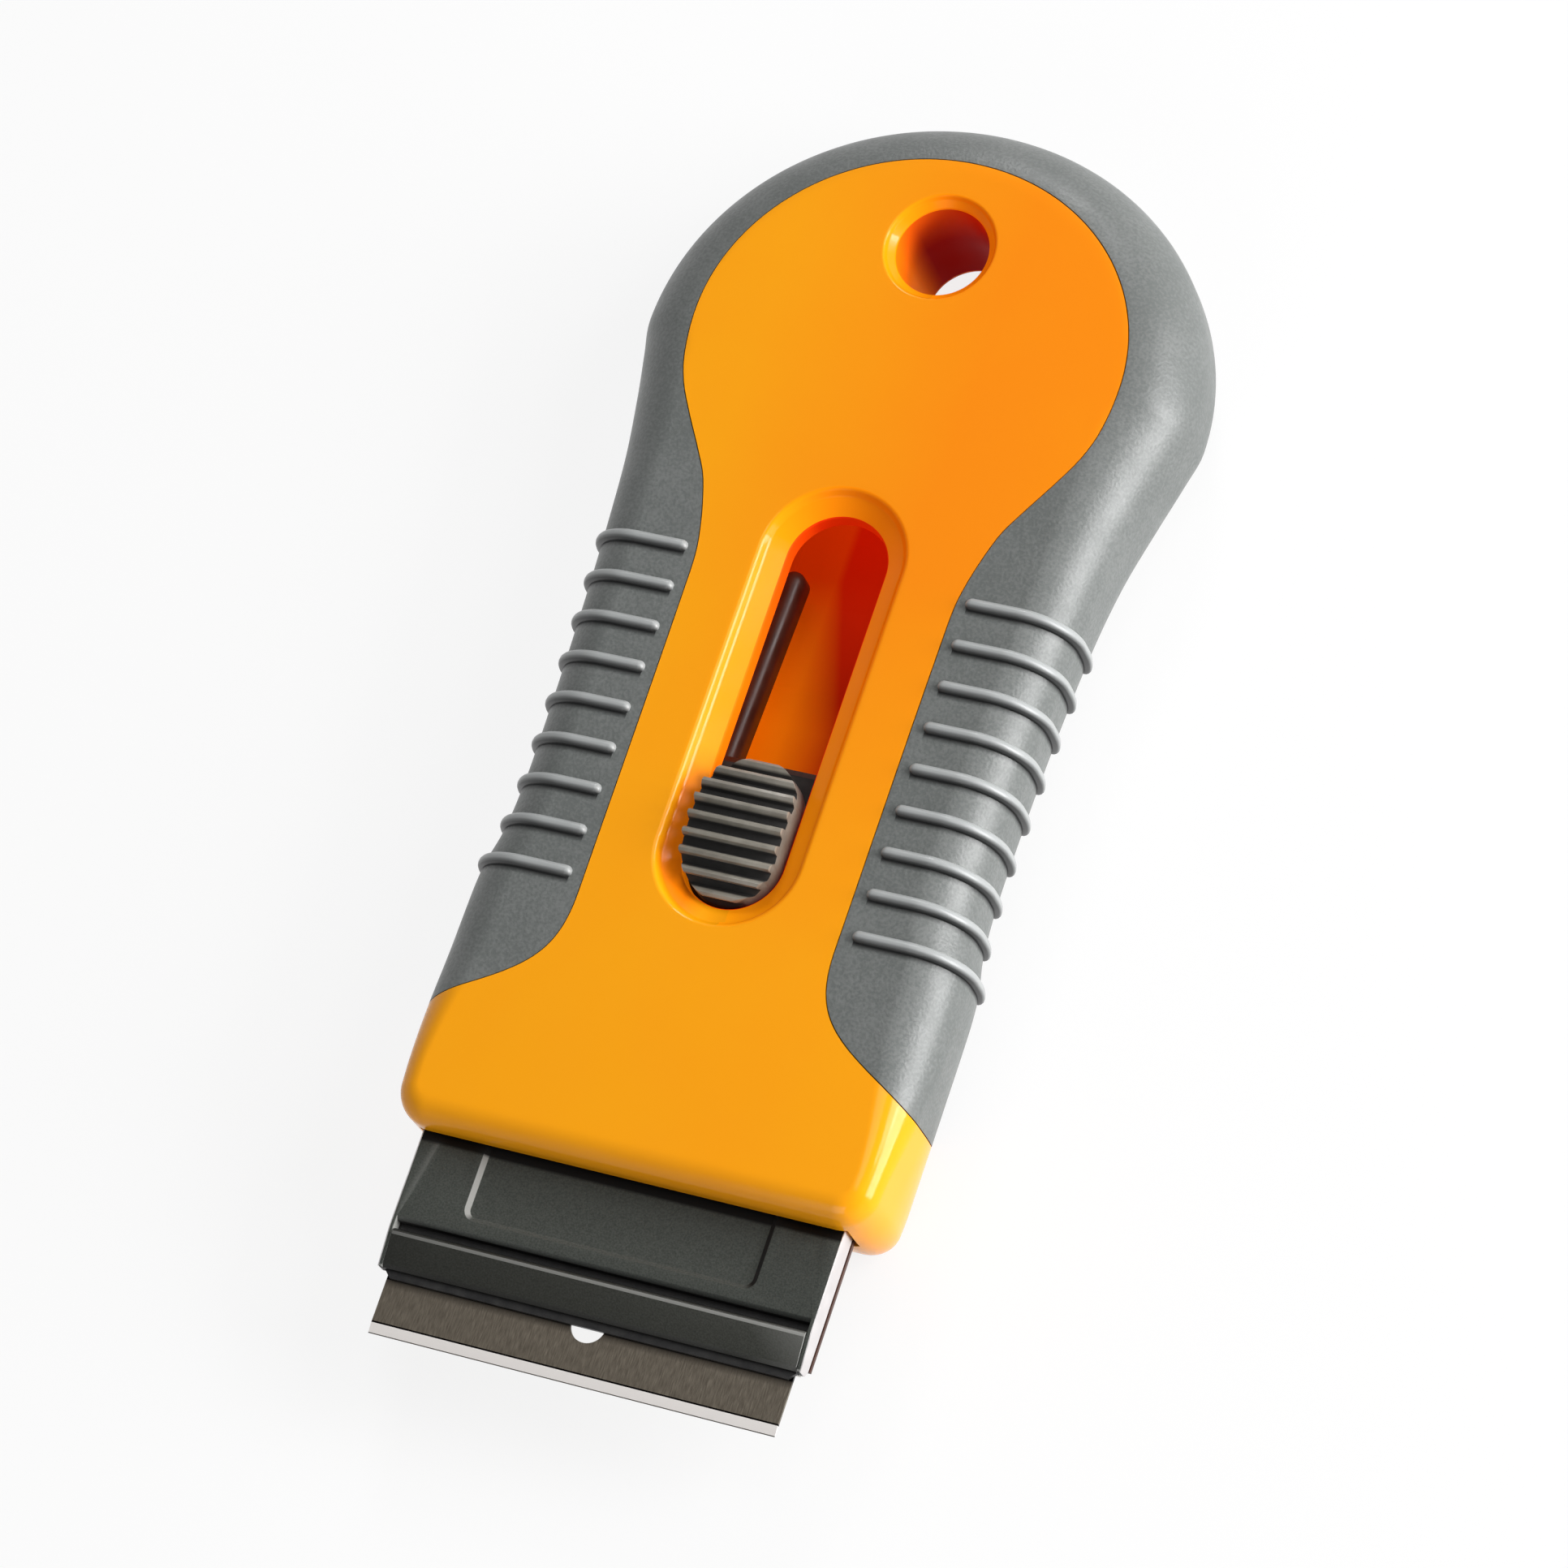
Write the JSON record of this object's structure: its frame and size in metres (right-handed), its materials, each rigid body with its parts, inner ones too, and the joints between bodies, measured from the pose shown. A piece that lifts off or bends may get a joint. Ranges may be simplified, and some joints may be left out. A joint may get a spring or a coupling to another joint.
{
  "type": "retractable razor blade scraper",
  "caption": "Hand scraper with a ribbed rubber grip and a round head with a hanging hole: a thumb button slides the clamped single edge blade in and out.",
  "frame": {"origin": "centre of the overall length and width, on the plane of the flat back, blade run out", "axes": "+Z out of the face that carries the thumb button, +Y from the cutting edge towards the round head, +X across the handle, to the right seen from the face with the blade down"},
  "size_m": [0.0542, 0.124, 0.0156],
  "materials": {
    "orange_plastic": "smooth, glossy moulded plastic",
    "gray_rubber": "satin, very fine grain",
    "plated_steel": "bright zinc plated",
    "brown_plastic": "dull moulded plastic",
    "bare_steel": "bare sheet steel",
    "blade_steel": "ground across its width, oiled",
    "black_steel": "black, satin",
    "gray_coated_steel": "satin, fine speckle",
    "gray_plastic": "satin moulded plastic"
  },
  "bodies": {
    "handle": {"front_shell": "orange_plastic", "rear_cover": "orange_plastic", "grip_overmould": "gray_rubber", "cover_screws": "plated_steel"},
    "carriage": {"carrier": "brown_plastic", "lower_jaw": "bare_steel", "locating_studs": "plated_steel", "blade": "blade_steel", "upper_jaw": "black_steel", "clamp_plate": "gray_coated_steel", "clamp_bar": "gray_coated_steel", "jaw_rivets": "plated_steel", "bar_rivets": "plated_steel", "button_spring": "bare_steel"},
    "button": {"thumb_button": "gray_plastic"}
  },
  "joints": [
    {"name": "blade_slide", "type": "slide", "parent": "handle", "child": "carriage", "axis": [0, 1, 0], "range_m": [0, 0.024]},
    {"name": "button_press", "type": "slide", "parent": "carriage", "child": "button", "axis": [0, 0, -1], "range_m": [0, 0.001], "stiffness_N_per_m": 1500, "springref_m": -0.0015, "deforming": ["button_spring"]}
  ]
}
